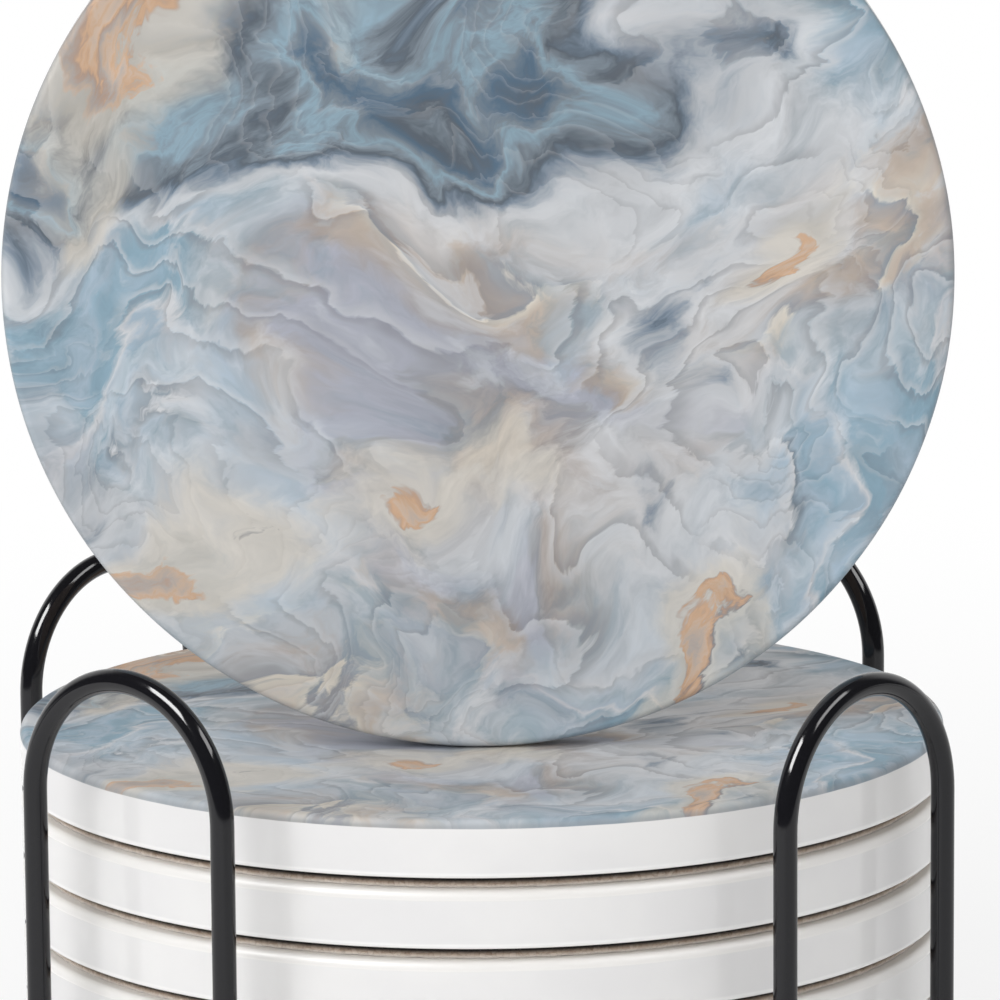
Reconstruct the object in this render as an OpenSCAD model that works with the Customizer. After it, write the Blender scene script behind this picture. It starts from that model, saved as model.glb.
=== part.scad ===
// Round ceramic coasters with cork backs, stacked in a rack of two bent wire loops.
// One more coaster stands on its edge on top of the stack.
// The origin is in the middle of the rack's base, on the table. +Z is up, and the
// hoops of the lower loop are at +X and -X, those of the upper loop at +Y and -Y.

/* [Coaster] */
// Diameter of a coaster
coaster_d = 100; // [70:1:140]
// Thickness of the ceramic tile, without its cork
tile_t = 6.1; // [4:0.1:12]
// Radius of the rounding round the printed face
face_round = 0.9; // [0.3:0.1:2]
// Radius of the rounding round the underside of the tile
under_round = 0.4; // [0.1:0.1:1.2]
// Thickness of the cork backing
cork_t = 1.3; // [0.8:0.05:4]
// How far the cork stays inside the edge of the tile
cork_inset = 1.5; // [0.6:0.1:6]

/* [Rack] */
// Diameter of the wire
wire_d = 2.5; // [1.6:0.1:4]
// Distance between the two legs of a hoop, from middle to middle
leg_gap = 26.5; // [16:0.1:40]
// Gap between a hoop and the edge of coasters that lie in the middle of the rack
edge_gap = 2.55; // [0.3:0.05:4]
// Radius of the bend from the base up into a leg, at the middle of the wire
bend_r = 5; // [3:0.25:7]
// Height of the upper loop's hoops above the top of the stack
hoop_rise = 14.2; // [10:0.1:40]
// How far two crossing wires sink into each other where they are welded
weld_sink = 0.3; // [0.05:0.05:0.6]

/* [Coasters in the rack] */
// How far the stack lies off the middle along Y, as a share of the gap to a hoop
stack_aside_share = 0.65; // [-0.8:0.05:0.8]
// Distance from the stack's middle to the face of the upright tile
upright_out = 16.8; // [0:0.1:25]
// Turn of the upright coaster about the vertical, in degrees
upright_turn = 41; // [0:1:90]

/* [Hidden] */

$fn = 96;
// Number of coasters lying in the rack
stack_count = 5;
// Air left under a piece that rests on a round edge
rest_gap = 0.05;

coaster_r = coaster_d / 2;
wire_r = wire_d / 2;
pitch = tile_t + cork_t;
// Distance from the rack's middle to the plane of a hoop
hoop_out = coaster_r + edge_gap + wire_r;
arc_r = leg_gap / 2;
loop_step = wire_d - weld_sink;
stack_base = loop_step + wire_d + rest_gap;
stack_top = stack_base + stack_count * pitch;
stack_aside = stack_aside_share * edge_gap;
// Height of one loop, from the table to the top of its hoops
loop_h = stack_top + hoop_rise - loop_step;
leg_top = loop_h - wire_r - arc_r;
leg_foot = wire_r + bend_r;
base_half = hoop_out - bend_r;

// Outline of one tile, from its axis outwards, underside at zero height
module tile_outline() {
    square([coaster_r - face_round, tile_t]);
    translate([0, under_round])
        square([coaster_r, tile_t - face_round - under_round]);
    square([coaster_r - under_round, tile_t - face_round]);
    translate([coaster_r - under_round, under_round])
        circle(r = under_round);
    translate([coaster_r - face_round, tile_t - face_round])
        circle(r = face_round);
}

// Ceramic tile with a rounded printed face on top
module tile() {
    color("whitesmoke")
        rotate_extrude()
            intersection() {
                tile_outline();
                square([coaster_r, tile_t]);
            }
}

// Cork disc glued under a tile, its top at zero height
module cork() {
    color("peru")
        translate([0, 0, -cork_t])
            cylinder(h = cork_t, r = coaster_r - cork_inset);
}

// Straight wire along X, centred on the origin
module straight_wire(len) {
    rotate([0, 90, 0])
        cylinder(h = len, r = wire_r, center = true);
}

// Quarter bend that leaves the base along +X and ends in a leg along +Z
module bend() {
    translate([base_half, 0, leg_foot])
        rotate([90, 0, 0])
            rotate([0, 0, -90])
                rotate_extrude(angle = 90)
                    translate([bend_r, 0])
                        circle(r = wire_r);
}

// Half round top of a hoop, standing in the plane across X
module arc_top() {
    translate([hoop_out, 0, leg_top])
        rotate([0, 0, 90])
            rotate([90, 0, 0])
                rotate_extrude(angle = 180)
                    translate([arc_r, 0])
                        circle(r = wire_r);
}

// One closed wire loop lying along X, with both ends bent up into hoops
module wire_loop() {
    color("#1c1c1e")
        union() {
            for (side = [-1, 1]) {
                translate([0, side * arc_r, wire_r])
                    straight_wire(2 * base_half);
                for (end = [0, 180]) {
                    rotate([0, 0, end])
                        translate([0, side * arc_r, 0])
                            bend();
                    rotate([0, 0, end])
                        translate([hoop_out, side * arc_r, leg_foot])
                            cylinder(h = leg_top - leg_foot, r = wire_r);
                }
            }
            for (end = [0, 180]) {
                rotate([0, 0, end])
                    arc_top();
            }
        }
}

// Places a coaster lying in the rack, counted from the lowest
module stacked(place) {
    translate([0, stack_aside, stack_base + (place - 1) * pitch + cork_t])
        children();
}

// Places a coaster standing on its edge on the stack, its face turned outwards
module upright() {
    translate([0, stack_aside, stack_top + rest_gap + coaster_r])
        rotate([0, 0, upright_turn])
            translate([0, tile_t - upright_out, 0])
                rotate([90, 0, 0])
                    children();
}

module wire_loop_lower() {
    wire_loop();
}

module wire_loop_upper() {
    translate([0, 0, loop_step])
        rotate([0, 0, 90])
            wire_loop();
}

wire_loop_lower();
wire_loop_upper();
stacked(1) tile();  // tile_1
stacked(1) cork();  // cork_1
stacked(2) tile();  // tile_2
stacked(2) cork();  // cork_2
stacked(3) tile();  // tile_3
stacked(3) cork();  // cork_3
stacked(4) tile();  // tile_4
stacked(4) cork();  // cork_4
stacked(5) tile();  // tile_5
stacked(5) cork();  // cork_5
upright() tile();  // tile_upright
upright() cork();  // cork_upright
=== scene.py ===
import math

import bpy
from mathutils import Matrix, Vector

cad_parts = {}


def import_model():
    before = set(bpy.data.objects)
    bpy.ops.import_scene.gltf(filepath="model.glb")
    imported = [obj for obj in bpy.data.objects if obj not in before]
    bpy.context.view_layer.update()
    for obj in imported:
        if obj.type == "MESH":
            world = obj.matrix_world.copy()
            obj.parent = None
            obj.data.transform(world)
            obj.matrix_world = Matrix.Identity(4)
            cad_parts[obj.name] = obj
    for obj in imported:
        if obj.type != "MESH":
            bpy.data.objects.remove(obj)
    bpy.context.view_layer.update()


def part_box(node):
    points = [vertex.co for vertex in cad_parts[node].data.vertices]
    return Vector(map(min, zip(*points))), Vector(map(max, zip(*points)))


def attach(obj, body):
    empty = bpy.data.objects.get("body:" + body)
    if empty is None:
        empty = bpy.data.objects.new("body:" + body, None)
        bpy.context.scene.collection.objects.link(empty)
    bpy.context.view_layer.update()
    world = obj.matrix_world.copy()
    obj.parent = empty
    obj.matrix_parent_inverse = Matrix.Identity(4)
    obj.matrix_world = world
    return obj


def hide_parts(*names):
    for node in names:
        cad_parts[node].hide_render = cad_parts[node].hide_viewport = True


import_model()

MM = 0.001

# Sizes of the coasters and the rack that the frame's boxes don't give
FACE_ROUND = 0.9 * MM
UNDER_ROUND = 0.4 * MM
WIRE_D = 2.5 * MM
BEND_R = 5 * MM
UPRIGHT_OUT = 16.8 * MM
# The upright coaster faces the camera, and the prints are turned the same way
TURN = math.radians(41)
# Turn of each lying coaster's print, from the lowest, against that of the top one
STACK_TURNS = [math.radians(a) for a in (152, 38, 255, 96, 0)]
STACK_COUNT = len(STACK_TURNS)

TILE_LO, TILE_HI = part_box("tile_5")
CORK_LO, CORK_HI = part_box("cork_5")
LOOP_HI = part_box("wire_loop_lower")[1]
COASTER_R = (TILE_HI.x - TILE_LO.x) / 2
TILE_T = TILE_HI.z - TILE_LO.z
CORK_R = (CORK_HI.x - CORK_LO.x) / 2
CORK_T = CORK_HI.z - CORK_LO.z
STACK_TOP = TILE_HI.z
STACK_AXIS = Vector(((TILE_LO.x + TILE_HI.x) / 2, (TILE_LO.y + TILE_HI.y) / 2, 0))
# Height on a tile where the printed face gives way to the white side
PRINT_LINE = TILE_T - FACE_ROUND
# How far the print of a covered coaster ends inside the edge of the cork on it
PRINT_INSET = 0.2 * MM

# Depth of the waves in the glaze of a tile's side, and of the grains and pits of the cork
GLAZE_WAVE = 0.008 * MM
GRAIN_DEPTH = 0.12 * MM
PIT_DEPTH = 0.6 * GRAIN_DEPTH
# Half the width and half the height of a weld bead
BEAD_R = 1.55 * MM
BEAD_H = 0.75 * MM

# Points round each round mesh
TILE_SIDES = 256
CORK_SIDES = 360
WIRE_SIDES = 32
BEAD_SIDES = 24
FLOOR_SIDES = 96


# Small helpers for shader trees

def srgb(red, green, blue):
    """A colour written in 0 to 255 sRGB steps, as Blender's linear RGBA."""
    steps = (red / 255, green / 255, blue / 255)
    return (*(s / 12.92 if s <= 0.04045 else ((s + 0.055) / 1.055) ** 2.4 for s in steps), 1.0)


def plug(tree, socket, value):
    """Sets an input socket to a value, or links another node's output to it."""
    if isinstance(value, bpy.types.NodeSocket):
        tree.links.new(value, socket)
    else:
        socket.default_value = value


def add(tree, kind, values=None, **settings):
    """A new shader node with its settings, and its inputs set or linked."""
    made = tree.nodes.new("ShaderNode" + kind)
    for name, value in settings.items():
        setattr(made, name, value)
    for key, value in (values or {}).items():
        plug(tree, made.inputs[key], value)
    return made


def maths(tree, operation, first, second=0.0, third=0.0):
    return add(tree, "Math", {0: first, 1: second, 2: third}, operation=operation).outputs[0]


def times(tree, first, second):
    return maths(tree, "MULTIPLY", first, second)


def vector(tree, operation, first, second):
    return add(tree, "VectorMath", {0: first, 1: second}, operation=operation).outputs[0]


def length(tree, at):
    """Distance of a point from the origin."""
    return add(tree, "VectorMath", {0: at}, operation="LENGTH").outputs["Value"]


def height_of(tree, at):
    return add(tree, "SeparateXYZ", {0: at}).outputs["Z"]


def named(tree, attribute):
    """Outputs of the node that reads one of the mesh's own attributes."""
    return add(tree, "Attribute", attribute_name=attribute).outputs


def moved(tree, at, shift=(0, 0, 0), turn=0.0, size=(1, 1, 1)):
    values = {"Vector": at, "Location": shift, "Rotation": (0, 0, turn), "Scale": size}
    return add(tree, "Mapping", values).outputs[0]


def noise(tree, at, scale, detail=2.0, roughness=0.5):
    """Strength of a noise in space."""
    values = {"Vector": at, "Scale": scale, "Detail": detail, "Roughness": roughness}
    return add(tree, "TexNoise", values, noise_dimensions="3D").outputs["Fac"]


def flat_noise(tree, at, shift, scale, detail, roughness=0.5):
    """Outputs of a noise in the plane of X and Y alone, which starts at a shift of its own."""
    values = {"Vector": moved(tree, at, shift), "Scale": scale, "Detail": detail, "Roughness": roughness}
    return add(tree, "TexNoise", values, noise_dimensions="2D").outputs


def fit(tree, value, low, high, to_low=0.0, to_high=1.0, smooth=True):
    """value, carried from low..high to to_low..to_high and held there."""
    values = {"Value": value, "From Min": low, "From Max": high, "To Min": to_low, "To Max": to_high}
    kind = "SMOOTHSTEP" if smooth else "LINEAR"
    return add(tree, "MapRange", values, interpolation_type=kind).outputs[0]


def ramp(tree, value, stops):
    """A colour ramp through (place, colour) stops."""
    made = add(tree, "ValToRGB", {"Fac": value})
    elements = made.color_ramp.elements
    while len(elements) < len(stops):
        elements.new(0.5)
    for element, (place, colour) in zip(elements, stops):
        element.position = place
        element.color = colour
    return made.outputs["Color"]


def mix(tree, share, under, over, blend="MIX"):
    """A colour, with that share of another one over it."""
    made = add(tree, "Mix", data_type="RGBA", blend_type=blend)
    for place, value in ((0, share), (6, under), (7, over)):
        plug(tree, made.inputs[place], value)
    return made.outputs[2]


def blend_value(tree, share, under, over):
    """A number, with that share of another one in its place."""
    return add(tree, "Mix", {0: share, 2: under, 3: over}).outputs[0]


def grey(tree, value):
    return add(tree, "CombineColor", {0: value, 1: value, 2: value}).outputs[0]


def warp(tree, at, scale, amount, detail=1.0, shift=(0, 0, 0)):
    """at, pushed about in its plane by a flat noise of that scale."""
    push = flat_noise(tree, at, shift, scale, detail)["Color"]
    push = vector(tree, "SUBTRACT", push, (0.5, 0.5, 0.5))
    push = vector(tree, "MULTIPLY", push, (amount, amount, 0.0))
    return vector(tree, "ADD", at, push)


def bumped(tree, shader, strength, depth, height):
    """Gives a shader fine relief of that depth, from a height between 0 and 1."""
    bump = add(tree, "Bump", {"Strength": strength, "Distance": depth, "Height": height})
    plug(tree, shader.inputs["Normal"], bump.outputs[0])


def material(name):
    """A material with an empty principled shader, and its tree and shader."""
    made = bpy.data.materials.new(name)
    made.use_nodes = True
    tree = made.node_tree
    tree.nodes.clear()
    shader = tree.nodes.new("ShaderNodeBsdfPrincipled")
    output = tree.nodes.new("ShaderNodeOutputMaterial")
    tree.links.new(shader.outputs[0], output.inputs["Surface"])
    return made, tree, shader


# The print: poured paint in pale blues, greys and warm patches

DEEP = srgb(60, 95, 122)
INK = srgb(70, 84, 98)
SLATE = srgb(118, 133, 145)
TEAL = srgb(134, 164, 181)
PALE = srgb(163, 182, 197)
MILK = srgb(208, 210, 213)
CREAM = srgb(212, 205, 193)
LAVENDER = srgb(170, 173, 185)
GREY = srgb(150, 152, 157)
TAUPE = srgb(175, 165, 159)
SAND = srgb(191, 177, 164)
PEACH = srgb(202, 176, 154)
AMBER = srgb(206, 166, 131)
RUST = srgb(176, 148, 130)
SHADE = srgb(120, 121, 127)
DUSK = srgb(122, 145, 159)
FOAM = srgb(204, 209, 214)
RIM_GREY = srgb(150, 155, 160)

COOL = [
    (0.00, SLATE), (0.16, SLATE), (0.24, TEAL), (0.34, PALE), (0.40, TEAL),
    (0.46, TEAL), (0.50, MILK), (0.53, PALE), (0.62, TEAL), (0.68, PALE),
    (0.715, SLATE), (0.73, MILK), (0.80, PALE), (1.00, TEAL)]
WARM = [
    (0.00, GREY), (0.18, TAUPE), (0.27, SAND), (0.33, TAUPE), (0.38, GREY),
    (0.395, CREAM), (0.46, SAND), (0.54, TAUPE), (0.60, LAVENDER), (0.68, LAVENDER),
    (0.70, GREY), (0.78, TAUPE), (1.00, SAND)]
BLUES = [
    (0.00, SLATE), (0.07, DEEP), (0.14, DEEP), (0.20, INK), (0.27, SLATE),
    (0.34, TEAL), (0.38, SLATE), (0.46, DEEP), (0.54, INK), (0.62, SLATE),
    (0.66, TEAL), (0.75, GREY), (1.00, SLATE)]
ISLANDS = [
    (0.00, SHADE), (0.04, SHADE), (0.07, RUST), (0.12, AMBER), (0.18, PEACH),
    (0.25, TAUPE), (0.32, RUST), (0.36, AMBER), (0.42, PEACH), (0.55, TAUPE),
    (0.60, CREAM), (0.66, RUST), (0.80, PEACH), (1.00, CREAM)]

# Place in the endless noise that the print is cut from, the turn of its flow, its stretch
# along the flow, and the size of its strands along and across the flow
SEED = (28.1, 2.6, 0)
FLOW_TURN = math.radians(-36)
FLOW_STRETCH = (0.85, 1.0, 1.0)
STRAND_SIZE = (9.0, 18.0, 1.0)
# Values of the noises between which one paint gives way to the next
WARM_FROM = (0.515, 0.565)
BLUE_FROM = (0.595, 0.650)
ISLAND_FROM = (0.622, 0.634)
# Contour lines: how many cross the noise, the zones that hold them, and how strong they are
CONTOURS = ((11.0, 0.44, 0.60, 0.85), (23.0, 0.54, 0.40, 0.45))


def marble(tree, at):
    """Colour of the poured paint, and its strands. at runs from -1 to 1 across a face."""
    # The flow of the paint: broad swirls, then curls, then ragged edges
    flow = moved(tree, at, SEED, FLOW_TURN)
    flow = moved(tree, flow, size=FLOW_STRETCH)
    flow = warp(tree, flow, 0.8, 0.60)
    flow = warp(tree, flow, 2.2, 0.24, shift=(5, 2, 1))
    curl = warp(tree, flow, 5.5, 0.12, shift=(1, 8, 3))
    rough = warp(tree, curl, 15.0, 0.055, 3.0, (4, 4, 7))
    drawn_out = moved(tree, rough, size=STRAND_SIZE)
    strands = flat_noise(tree, drawn_out, (0, 0, 0), 1.0, 4.0, 0.68)["Fac"]
    feather = maths(tree, "SUBTRACT", strands, 0.5)

    def patches(shift, scale, detail, roughness):
        """A noise that follows the flow."""
        return flat_noise(tree, rough, shift, scale, detail, roughness)["Fac"]

    def frayed(value, amount):
        """value, its edges frayed along the strands."""
        return maths(tree, "MULTIPLY_ADD", feather, amount, value)

    # A cool and a warm paint, each in bands, with a milky stream where they meet
    hue = frayed(patches((6, 3, 0), 0.72, 1.0, 0.4), 0.06)
    field = frayed(patches((0, 0, 0), 1.25, 4.0, 0.45), 0.05)
    bands = fit(tree, field, 0.25, 0.75, smooth=False)
    paint = mix(tree, fit(tree, hue, *WARM_FROM), ramp(tree, bands, COOL), ramp(tree, bands, WARM))
    cloud = patches((3, 9, 2), 2.4, 5.0, 0.6)
    stream = times(tree, fit(tree, hue, 0.44, 0.515), fit(tree, hue, 0.565, 0.52))
    paint = mix(tree, times(tree, stream, fit(tree, cloud, 0.3, 0.6, 0.25, 0.85)), paint, MILK)
    paint = mix(tree, fit(tree, cloud, 0.50, 0.72, 0.0, 0.7), paint, PALE)
    paint = mix(tree, fit(tree, cloud, 0.46, 0.30, 0.0, 0.5), paint, LAVENDER)

    # Broken patches, as of a dry brush, darker and paler than the paint round them
    dabs = patches((13, 6, 0), 5.2, 5.0, 0.62)
    paint = mix(tree, fit(tree, dabs, 0.52, 0.66, 0.0, 0.42), paint, DUSK)
    paint = mix(tree, fit(tree, dabs, 0.47, 0.34, 0.0, 0.48), paint, FOAM)

    # Patches of deep blue with ragged sides and a milky rim
    depth = frayed(patches((11.3, 4.2, 0), 1.0, 3.0, 0.5), 0.06)
    blue = ramp(tree, fit(tree, depth, 0.60, 0.84, smooth=False), BLUES)
    paint = mix(tree, times(tree, fit(tree, depth, 0.53, 0.60), 0.8), paint, MILK)
    paint = mix(tree, fit(tree, depth, *BLUE_FROM, 0.0, 0.94), paint, blue)

    # Contour lines like those in agate: a dark line, then a pale one that fades away
    rings = frayed(patches((8, 1, 5), 1.5, 2.0, 0.45), 0.03)
    zones = flat_noise(tree, curl, (2, 4, 0), 1.9, 1.0)["Fac"]
    quiet = fit(tree, depth, 0.60, 0.66, 1.0, 0.55)
    for count, low, high, strength in CONTOURS:
        line = maths(tree, "FRACT", times(tree, rings, count))
        where = times(tree, fit(tree, zones, low, high, 0.0, strength), quiet)
        dark = times(tree, fit(tree, line, 0.72, 0.97), fit(tree, line, 1.0, 0.97))
        pale = times(tree, fit(tree, line, 0.30, 0.02), fit(tree, line, 0.0, 0.03))
        paint = mix(tree, times(tree, times(tree, dark, where), 0.45), paint, SHADE)
        paint = mix(tree, times(tree, times(tree, pale, where), 0.55), paint, MILK)

    # Warm islands with a cream rim, sharp on one side and fading on the other
    warm = frayed(patches((2.6, 14.9, 0), 1.4, 3.0, 0.5), 0.08)
    island = ramp(tree, fit(tree, warm, 0.625, 0.80, smooth=False), ISLANDS)
    paint = mix(tree, times(tree, fit(tree, warm, 0.54, 0.625), 0.7), paint, CREAM)
    shore = maths(tree, "ADD", warm, fit(tree, cloud, 0.35, 0.65, -0.03, 0.0))
    paint = mix(tree, times(tree, fit(tree, shore, *ISLAND_FROM), 0.92), paint, island)

    # Fine strands along the flow, and a soft unevenness
    light = maths(tree, "MULTIPLY_ADD", feather, 0.40, 0.940)
    small = patches((7, 7, 2), 6.5, 4.0, 0.62)
    uneven = maths(tree, "SUBTRACT", maths(tree, "ADD", cloud, small), 1.0)
    light = maths(tree, "MULTIPLY_ADD", uneven, 0.34, light)
    return mix(tree, 1.0, paint, grey(tree, light), "MULTIPLY"), strands


# Materials

def printed_ceramic():
    """White glazed ceramic with the print on its face and a bare, unglazed underside."""
    made, tree, shader = material("printed_ceramic")
    at = named(tree, "local")["Vector"]
    face = vector(tree, "MULTIPLY", at, (1 / COASTER_R, 1 / COASTER_R, 0.0))
    paint, strands = marble(tree, face)

    # The print stops at a line that wanders a little round the edge
    wander = noise(tree, at, 180.0)
    height = maths(tree, "MULTIPLY_ADD", wander, 0.12 * MM, height_of(tree, at))
    above = maths(tree, "SUBTRACT", height, PRINT_LINE)
    printed = fit(tree, above, 0.04 * MM, 0.09 * MM)
    reach = maths(tree, "MULTIPLY_ADD", wander, 0.6 * MM, length(tree, at))
    to_edge = maths(tree, "SUBTRACT", named(tree, "print_edge")["Fac"], reach)
    inside = fit(tree, to_edge, -0.1 * MM, 0.0)
    printed = times(tree, printed, inside)

    # The glaze is painted paler at the foot of the side and on a blank rounding, which is painted light,
    # and it is missing under the tile
    cloud = noise(tree, at, 60.0, 3.0)
    glaze = mix(tree, fit(tree, cloud, 0.35, 0.65), srgb(234, 233, 233), srgb(239, 238, 237))
    # Painted light: the lowest part of the side is painted paler
    glaze = mix(tree, fit(tree, height, 0.75 * MM, 0.45 * MM), glaze, srgb(248, 247, 246))
    lip = times(tree, fit(tree, above, -0.20 * MM, 0.10 * MM), fit(tree, inside, 1.0, 0.0))
    # Painted light: the blank rounding of a covered tile is painted paler, against the shade of the
    # coaster above
    glaze = mix(tree, lip, glaze, srgb(243, 241, 238))
    biscuit = mix(tree, noise(tree, at, 2500.0), srgb(214, 206, 194), srgb(231, 225, 215))
    bare = fit(tree, height, 0.14 * MM, 0.07 * MM)
    body = mix(tree, bare, glaze, biscuit)
    # The print is blended towards a plain grey as it goes over the rounding
    over = fit(tree, above, FACE_ROUND, 0.3 * FACE_ROUND, 0.0, 0.55)
    plug(tree, shader.inputs["Base Color"], mix(tree, printed, body, mix(tree, over, paint, RIM_GREY)))

    # Gloss: a smooth glaze, more matt on a blank rounding, a satin print and a dull underside
    sheen = maths(tree, "MULTIPLY_ADD", cloud, 0.06, 0.08)
    sheen = maths(tree, "MULTIPLY_ADD", lip, 0.28, sheen)
    satin = maths(tree, "MULTIPLY_ADD", strands, 0.10, 0.58)
    rough = blend_value(tree, printed, sheen, satin)
    plug(tree, shader.inputs["Roughness"], blend_value(tree, bare, rough, 0.85))
    bumped(tree, shader, 0.35, 0.03 * MM, noise(tree, at, 140.0, 1.0, 0.4))
    return made


def cork():
    """Pressed cork: pale and dark granules with pores between them."""
    made, tree, shader = material("cork")
    at = named(tree, "local")["Vector"]
    granules = {"Vector": at, "Scale": 1700.0}
    cells = add(tree, "TexVoronoi", granules, feature="F1").outputs["Color"]
    edge = add(tree, "TexVoronoi", granules, feature="DISTANCE_TO_EDGE").outputs["Distance"]
    tone = add(tree, "SeparateColor", {0: cells}).outputs[0]
    colour = ramp(tree, tone, [
        (0.0, srgb(176, 155, 137)), (0.12, srgb(190, 169, 151)), (0.5, srgb(199, 180, 163)),
        (0.85, srgb(206, 188, 172)), (1.0, srgb(214, 197, 182))])
    speck = noise(tree, at, 2600.0, 2.0, 0.6)
    colour = mix(tree, fit(tree, speck, 0.56, 0.74, 0.0, 0.5), colour, srgb(128, 98, 74))
    seam = fit(tree, edge, 0.09, 0.0)
    colour = mix(tree, times(tree, seam, 0.30), colour, srgb(134, 104, 80))

    # The side is painted dark at its top, painted shade under the tile, and painted pale towards its
    # lower edge, painted light in the gap
    height = height_of(tree, at)
    reach = length(tree, vector(tree, "MULTIPLY", at, (1.0, 1.0, 0.0)))
    # Painted light: the foot of the side is painted pale
    painted_light = fit(tree, height, -0.80 * MM, -1.30 * MM, 0.0, 0.8)
    painted_light = times(tree, painted_light, fit(tree, reach, 0.993 * CORK_R, 0.997 * CORK_R))
    colour = mix(tree, painted_light, colour, srgb(236, 232, 228))
    # Painted shade: the top of the side is painted near black
    painted_shade = fit(tree, height, -1.06 * MM, -0.44 * MM)
    colour = mix(tree, painted_shade, colour, srgb(18, 15, 14))
    plug(tree, shader.inputs["Base Color"], colour)
    plug(tree, shader.inputs["Roughness"], maths(tree, "MULTIPLY_ADD", speck, 0.12, 0.80))
    relief = maths(tree, "SUBTRACT", times(tree, speck, 0.5), seam)
    bumped(tree, shader, 0.6, 0.08 * MM, relief)
    return made


def black_wire():
    """Glossy black coating on steel, with a slight waviness and fine dust."""
    made, tree, shader = material("black_wire")
    at = add(tree, "TexCoord").outputs["Object"]
    wave = noise(tree, at, 220.0, 2.0, 0.45)
    dust = noise(tree, at, 5200.0, 2.0, 0.7)
    colour = mix(tree, fit(tree, dust, 0.62, 0.78, 0.0, 0.35), srgb(19, 19, 23), srgb(56, 56, 62))
    plug(tree, shader.inputs["Base Color"], colour)
    plug(tree, shader.inputs["Specular IOR Level"], 0.45)
    rough = maths(tree, "MULTIPLY_ADD", wave, 0.06, 0.05)
    plug(tree, shader.inputs["Roughness"], maths(tree, "MULTIPLY_ADD", dust, 0.05, rough))
    bumped(tree, shader, 0.18, 0.03 * MM, wave)
    return made


# Meshes

def arc(centre, radius, start, end, count):
    """Points of an arc from one angle to another, in degrees, both ends included."""
    steps = [math.radians(start + (end - start) * i / count) for i in range(count + 1)]
    return [(centre[0] + radius * math.cos(a), centre[1] + radius * math.sin(a)) for a in steps]


def mesh_of(name, points, faces):
    """A smooth mesh of those points and faces."""
    mesh = bpy.data.meshes.new(name)
    mesh.from_pydata(points, [], faces)
    mesh.shade_smooth()
    return mesh


def lathe(name, outline, sides, dent=None):
    """A closed body turned from (radius, height) points that start and end on the axis.
    dent(angle, radius, height) gives how far a point is pressed in, along the radius and down."""
    points, faces = [], []
    inner = outline[1:-1]
    for radius, height in inner:
        for i in range(sides):
            angle = math.tau * i / sides
            across, down = dent(angle, radius, height) if dent else (0, 0)
            r = radius - across
            points.append((r * math.cos(angle), r * math.sin(angle), height - down))
    for row in range(len(inner) - 1):
        for i in range(sides):
            j = (i + 1) % sides
            a, b = row * sides, (row + 1) * sides
            faces.append((a + j, a + i, b + i, b + j))
    first, last = len(points), len(points) + 1
    points += [(0, 0, outline[0][1]), (0, 0, outline[-1][1])]
    base = (len(inner) - 1) * sides
    for i in range(sides):
        j = (i + 1) % sides
        faces.append((first, i, j))
        faces.append((last, base + j, base + i))
    return mesh_of(name, points, faces)


def tile_mesh(name, print_edge):
    """A round tile, its underside at zero height, with a slightly uneven glaze. Its print
    ends at the radius print_edge, or at the foot of the rounding where that is further out."""
    flat = COASTER_R - FACE_ROUND
    foot = COASTER_R - UNDER_ROUND
    side = PRINT_LINE - UNDER_ROUND
    face_rows, side_rows, under_rows = 10, 6, 6
    outline = [(flat * share, TILE_T) for share in (0, 0.02, 0.25, 0.5, 0.75, 0.9, 0.98)]
    outline += arc((flat, PRINT_LINE), FACE_ROUND, 90, 0, face_rows)
    outline += [(COASTER_R, PRINT_LINE - side * i / side_rows) for i in range(1, side_rows)]
    outline += arc((foot, UNDER_ROUND), UNDER_ROUND, 0, -90, under_rows)
    outline += [(foot * share, 0) for share in (0.98, 0.9, 0.5, 0.02, 0)]

    def dent(angle, radius, height):
        """The side wanders in by a few hundredths of a millimetre."""
        if radius < flat:
            return 0, 0
        swell = math.sin(3 * angle + 0.7) + math.sin(7 * angle + 900 * height)
        swell += math.sin(19 * angle + 2.1)
        # The three waves together swing between -3 and 3, and the side never stands out
        return (3 + swell) * GLAZE_WAVE, 0

    mesh = lathe(name, outline, TILE_SIDES, dent)
    attribute = mesh.attributes.new("print_edge", "FLOAT", "POINT")
    attribute.data.foreach_set("value", [print_edge] * len(mesh.vertices))
    return mesh


def cork_mesh():
    """A thin cork disc, its top at zero height, with a crumbly side and pits underneath."""
    rows = 6
    outline = [(CORK_R * share, 0) for share in (0, 0.5, 0.97, 1)]
    outline += [(CORK_R, -CORK_T * i / rows) for i in range(1, rows)]
    outline += [(CORK_R, -CORK_T)]
    outline += [(CORK_R * share, -CORK_T) for share in (0.985, 0.96)]
    outline += [(CORK_R * tenths / 10, -CORK_T) for tenths in range(9, -1, -1)]

    def dent(angle, radius, height):
        """Granules stand out on the side; pits sink into the underside."""
        if height == 0:
            return 0, 0
        x = math.cos(angle) * radius / MM
        y = math.sin(angle) * radius / MM
        z = height / MM
        lumps = math.sin(x * 2.3 + math.sin(y * 3.1 + z * 4)) * math.cos(y * 1.9 + z * 5)
        rough = 0.5 + 0.5 * lumps
        across = GRAIN_DEPTH * rough if radius > 0.98 * CORK_R else 0
        down = -PIT_DEPTH * rough if height == -CORK_T else 0
        return across, down

    return lathe("cork", outline, CORK_SIDES, dent)


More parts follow.
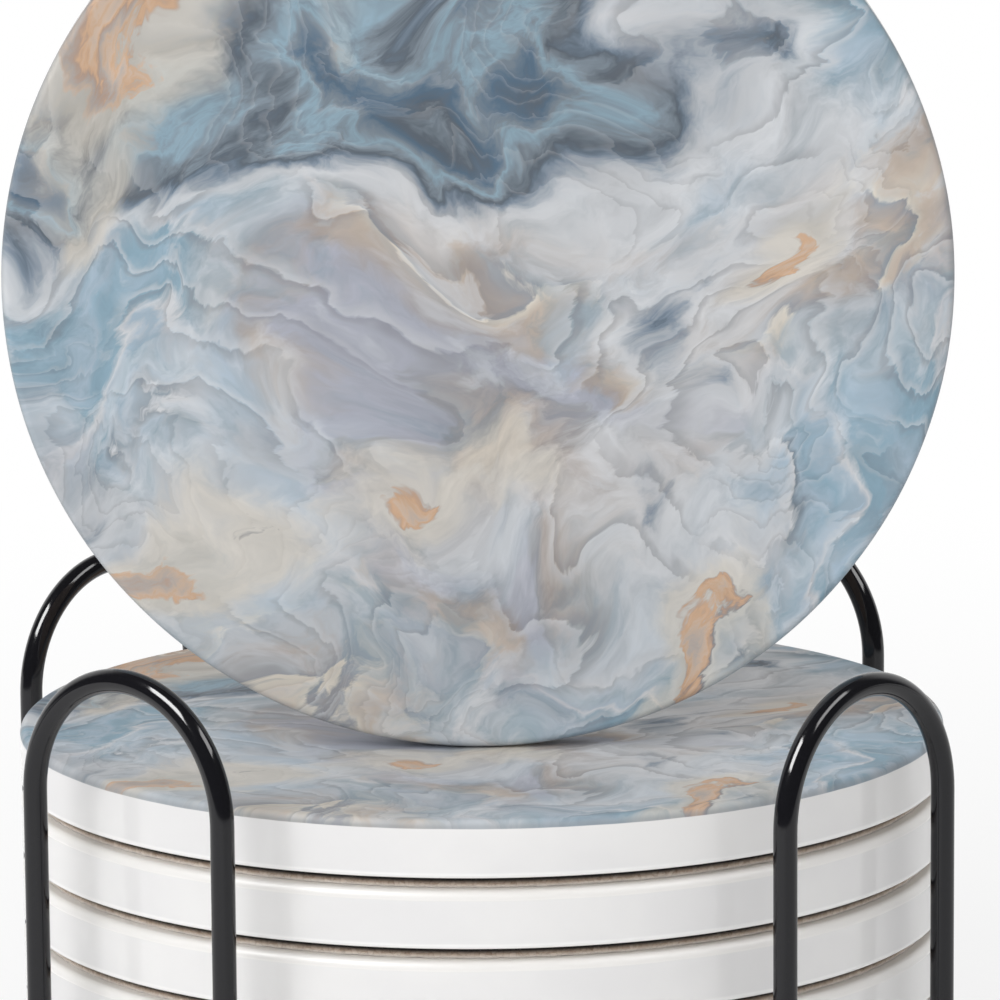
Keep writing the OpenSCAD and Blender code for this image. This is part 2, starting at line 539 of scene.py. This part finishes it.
def wire_path():
    """Middle line of the lower loop: along its base, up each bend and leg, and over each arc."""
    radius = WIRE_D / 2
    out = LOOP_HI.x - radius
    half = LOOP_HI.y - radius
    leg_foot = radius + BEND_R
    leg_top = LOOP_HI.z - radius - half
    inside = out - BEND_R
    base_rows, bend_rows, leg_rows, arc_rows = 18, 14, 8, 48
    rises = [leg_foot + (leg_top - leg_foot) * i / leg_rows for i in range(1, leg_rows)]
    falls = [leg_top + (leg_foot - leg_top) * i / leg_rows for i in range(1, leg_rows)]
    path = []
    for end in (1, -1):
        # Seen from this end, the wire runs out along one side and comes back on the other
        run = [(inside * (2 * i / base_rows - 1), -half, radius) for i in range(1, base_rows)]
        run += [(x, -half, z) for x, z in arc((inside, leg_foot), BEND_R, -90, 0, bend_rows)]
        run += [(out, -half, z) for z in rises]
        run += [(out, y, z) for y, z in arc((0, leg_top), half, 180, 0, arc_rows)]
        run += [(out, half, z) for z in falls]
        run += [(x, half, z) for x, z in arc((inside, leg_foot), BEND_R, 0, -90, bend_rows)]
        path += [Vector((end * x, end * y, z)) for x, y, z in run]
    return path


def tube(name, path, radius, sides):
    """A closed round tube along a closed path that never turns back on itself."""
    count = len(path)
    tangents = [(path[(i + 1) % count] - path[i - 1]).normalized() for i in range(count)]
    across = tangents[0].orthogonal().normalized()
    points, faces = [], []
    for place, tangent in zip(path, tangents):
        across = (across - tangent * across.dot(tangent)).normalized()
        other = tangent.cross(across)
        for i in range(sides):
            angle = math.tau * i / sides
            points.append(place + (across * math.cos(angle) + other * math.sin(angle)) * radius)

    # After one round the ring of points comes back turned, by this many sides
    start = points[:sides]
    last = [point + path[0] - path[-1] for point in points[-sides:]]

    def miss(turn):
        """How far the last ring is from the first, once turned by that many sides."""
        return sum((last[i] - start[(i + turn) % sides]).length for i in range(sides))

    slip = min(range(sides), key=miss)
    for ring in range(count):
        a, b = ring * sides, (ring + 1) % count * sides
        turn = slip if ring == count - 1 else 0
        for i in range(sides):
            j = (i + 1) % sides
            faces.append((a + i, a + j, b + (j + turn) % sides, b + (i + turn) % sides))
    return mesh_of(name, points, faces)


def weld_mesh():
    """A lumpy weld bead round the crossing of two wires, at zero."""
    rings = 10
    mesh = lathe("weld", arc((0, 0), 1, 90, -90, rings), BEAD_SIDES)
    for vertex in mesh.vertices:
        p = vertex.co
        lump = 1 + 0.10 * math.sin(5 * p.x + 2 * p.y) * math.cos(4 * p.y + 3 * p.z)
        vertex.co = Vector((p.x * BEAD_R * lump, p.y * BEAD_R * lump, p.z * BEAD_H))
    return mesh


# Pieces

def piece(name, mesh, place, body, slot, surface, *nodes):
    """Adds a copy of a mesh, moved to its place, as a piece of the object that stands for
    the CAD nodes named. It keeps where its points were before, for the material to read."""
    own = mesh.copy()
    own.name = name
    local = own.attributes.new("local", "FLOAT_VECTOR", "POINT")
    local.data.foreach_set("vector", [number for vertex in own.vertices for number in vertex.co])
    own.transform(place)
    own.materials.append(surface)
    made = bpy.data.objects.new(name, own)
    bpy.context.scene.collection.objects.link(made)
    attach(made, body)
    if nodes:
        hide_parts(*nodes)


def turned(angle, axis="Z"):
    return Matrix.Rotation(angle, 4, axis)


def coasters():
    """The lying coasters and the upright one."""
    ceramic = printed_ceramic()
    backing = cork()
    disc = cork_mesh()
    # On the coasters below the top one the print ends before the rounding
    covered = tile_mesh("tile_covered", CORK_R - PRINT_INSET)
    shown = tile_mesh("tile_shown", 2 * COASTER_R)
    for number, turn in enumerate(STACK_TURNS, 1):
        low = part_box(f"tile_{number}")[0].z
        place = Matrix.Translation(STACK_AXIS + Vector((0, 0, low))) @ turned(TURN + turn)
        body = f"coaster_{number}"
        mesh = shown if number == STACK_COUNT else covered
        piece(f"printed_tile_{number}", mesh, place, body, "printed_ceramic", ceramic, f"tile_{number}")
        piece(f"cork_back_{number}", disc, place, body, "cork_backing", backing, f"cork_{number}")

    low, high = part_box("tile_upright")
    place = Matrix.Translation(STACK_AXIS + Vector((0, 0, (low.z + high.z) / 2))) @ turned(TURN)
    place = place @ Matrix.Translation((0, TILE_T - UPRIGHT_OUT, 0)) @ turned(math.pi / 2, "X")
    body = "coaster_upright"
    piece("printed_tile_upright", shown, place, body, "printed_ceramic", ceramic, "tile_upright")
    piece("cork_back_upright", disc, place, body, "cork_backing", backing, "cork_upright")


def rack():
    """Both wire loops and the weld beads at their four crossings."""
    coating = black_wire()
    loop = tube("wire_loop", wire_path(), WIRE_D / 2, WIRE_SIDES)
    upper_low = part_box("wire_loop_upper")[0].z
    raised = Matrix.Translation((0, 0, upper_low)) @ turned(math.pi / 2)
    piece("rack_wire_lower", loop, Matrix.Identity(4), "rack", "black_wire", coating, "wire_loop_lower")
    piece("rack_wire_upper", loop, raised, "rack", "black_wire", coating, "wire_loop_upper")
    bead = weld_mesh()
    half = LOOP_HI.y - WIRE_D / 2
    height = (upper_low + WIRE_D) / 2
    for number, (x, y) in enumerate(((1, 1), (-1, 1), (-1, -1), (1, -1)), 1):
        place = Matrix.Translation((x * half, y * half, height)) @ turned(number * 1.3)
        piece(f"rack_weld_{number}", bead, place, "rack", "black_wire", coating)


# Studio. Distances are in metres

# Light from all round, and the strength of the unlit studio where gloss shows it
AMBIENT = 0.70
DARK = 0.08
WHITE = (1, 1, 1, 1)
# Directions as seen by the camera
RIGHT = (1, 0, 0)
AWAY = (0, 1, 0)
# Radius of the floor, and of the part of it that takes shadows
FLOOR_R = 2.5
SHADED_R = 0.45
# In gloss the floor ends between these distances in front of the object
GLOSS_END = (0.42, 0.32)


def from_front(right, away, up):
    """A point given as seen by the camera: to the right, away from it, and up."""
    return STACK_AXIS + turned(TURN) @ Vector((right, away, up))


def toward(tree, at, side):
    """How far a point or a direction lies to one side of the object: (right, away, up) as
    seen by the camera."""
    side = turned(TURN) @ Vector(side)
    return add(tree, "VectorMath", {0: at, 1: side}, operation="DOT_PRODUCT").outputs["Value"]


def seen_and_gloss(tree):
    """Two numbers: 1 for rays that see the background, from the camera or through glass,
    and 1 for rays that show it in gloss."""
    path = add(tree, "LightPath").outputs
    seen = maths(tree, "MAXIMUM", path["Is Camera Ray"], path["Is Transmission Ray"])
    return seen, path["Is Glossy Ray"]


def floor():
    """A pale floor that keeps the object's shadow and turns plain white further away.
    In gloss it is dimmer on the right, and ends 0.4 m in front of the object, where the
    dark of the studio begins."""
    inner_rings = 4
    rings = [SHADED_R * i / inner_rings for i in range(1, inner_rings + 1)] + [FLOOR_R]
    angles = [math.tau * i / FLOOR_SIDES for i in range(FLOOR_SIDES)]
    points = [(0, 0, 0)]
    points += [(r * math.cos(a), r * math.sin(a), 0) for r in rings for a in angles]
    faces = [(0, 1 + i, 1 + (i + 1) % FLOOR_SIDES) for i in range(FLOOR_SIDES)]
    for row in range(len(rings) - 1):
        for i in range(FLOOR_SIDES):
            j = (i + 1) % FLOOR_SIDES
            a, b = 1 + row * FLOOR_SIDES, 1 + (row + 1) * FLOOR_SIDES
            faces.append((a + i, b + i, b + j, a + j))
    mesh = bpy.data.meshes.new("floor")
    mesh.from_pydata(points, [], faces)

    made, tree, shader = material("floor")
    plug(tree, shader.inputs["Base Color"], (0.90, 0.90, 0.90, 1.0))
    plug(tree, shader.inputs["Roughness"], 0.9)
    at = add(tree, "TexCoord").outputs["Object"]
    # Share of plain white, from the middle of the shadow, 30 mm to the right, outwards
    shadow = vector(tree, "SUBTRACT", at, from_front(0.03, 0, 0))
    white = fit(tree, length(tree, shadow), 0.06, 0.8 * SHADED_R, 0.76, 1.0)
    # 1 where gloss sees the floor, and 0 beyond its end
    near = maths(
        tree, "MAXIMUM", fit(tree, length(tree, at), *GLOSS_END),
        fit(tree, toward(tree, at, AWAY), 0.0, 0.10))
    seen, gloss = seen_and_gloss(tree)
    share = maths(tree, "MAXIMUM", white, maths(tree, "SUBTRACT", gloss, near))
    share = times(tree, maths(tree, "MAXIMUM", seen, gloss), share)
    dim = fit(tree, toward(tree, at, RIGHT), -0.04, 0.07, 1.0, 0.78)
    dim = times(tree, dim, fit(tree, near, 0.0, 1.0, DARK, 1.0, smooth=False))
    glow = add(tree, "Emission", {"Color": WHITE, "Strength": maths(tree, "MAXIMUM", seen, dim)})
    both = add(tree, "MixShader", {0: share, 1: shader.outputs[0], 2: glow.outputs[0]})
    output = next(n for n in tree.nodes if n.type == "OUTPUT_MATERIAL")
    plug(tree, output.inputs["Surface"], both.outputs[0])
    mesh.materials.append(made)
    plane = bpy.data.objects.new("floor", mesh)
    bpy.context.scene.collection.objects.link(plane)


def world():
    """White where it is seen, soft light elsewhere. In gloss it is white behind the object
    and dark elsewhere, like a white backdrop in an unlit studio."""
    made = bpy.data.worlds.new("studio")
    bpy.context.scene.world = made
    made.use_nodes = True
    tree = made.node_tree
    tree.nodes.clear()
    seen, gloss = seen_and_gloss(tree)
    direction = add(tree, "TexCoord").outputs["Generated"]
    behind = fit(tree, toward(tree, direction, AWAY), 0.30, 0.60)
    below_top = fit(tree, height_of(tree, direction), 0.85, 0.45)
    backdrop = times(tree, behind, below_top)
    walls = fit(tree, backdrop, 0.0, 1.0, DARK, 1.0, smooth=False)
    strength = blend_value(tree, gloss, AMBIENT, walls)
    strength = blend_value(tree, seen, strength, 1.0)
    light = add(tree, "Background", {"Color": WHITE, "Strength": strength})
    output = tree.nodes.new("ShaderNodeOutputWorld")
    plug(tree, output.inputs["Surface"], light.outputs[0])


def softbox(name, place, size, watts, glossy=True, diffuse=True):
    """A rectangular lamp of (width, length) that faces the object. place is (right, away, up)
    as seen by the camera. glossy and diffuse say what its light shows in."""
    data = bpy.data.lights.new(name, "AREA")
    data.shape = "RECTANGLE"
    data.size, data.size_y = size
    data.energy = watts
    made = bpy.data.objects.new(name, data)
    bpy.context.scene.collection.objects.link(made)
    place = from_front(*place)
    aim = (from_front(0, 0, 0.06) - place).to_track_quat("-Z", "Y").to_matrix().to_4x4()
    made.matrix_world = Matrix.Translation(place) @ aim
    made.visible_glossy = glossy
    made.visible_diffuse = diffuse


def lights():
    """A large key in front on the left, and two softboxes that only gloss shows."""
    softbox("key", (-0.75, -0.9, 0.75), (0.9, 0.9), 7.6, glossy=False)
    softbox("box_left", (-0.66, -0.52, 0.98), (0.60, 0.56), 23.0, diffuse=False)
    softbox("box_right", (0.75, -0.33, 0.99), (0.72, 0.42), 6.6, diffuse=False)


def camera():
    """The photograph's viewpoint, found by fitting a pinhole camera to the rims of the
    stack and of the upright coaster."""
    distance = 750 * MM
    elevation = math.radians(12.46)
    roll = math.radians(-0.46)
    aim_right, aim_up = 2.16 * MM, 24.57 * MM
    line = Vector((0, 0, STACK_TOP - FACE_ROUND))
    eye = from_front(0, -distance * math.cos(elevation), distance * math.sin(elevation)) + line
    aim = from_front(aim_right, 0, aim_up) + line
    data = bpy.data.cameras.new("camera")
    data.sensor_width = 36
    data.lens = 248.8
    data.clip_start = 10 * MM
    made = bpy.data.objects.new("camera", data)
    bpy.context.scene.collection.objects.link(made)
    turn = (aim - eye).to_track_quat("-Z", "Y").to_matrix().to_4x4()
    made.matrix_world = Matrix.Translation(eye) @ turn @ turned(roll)
    bpy.context.scene.camera = made


camera()
world()
lights()
floor()
rack()
coasters()

bpy.context.scene.view_settings.view_transform = "Standard"
bpy.context.view_layer.update()
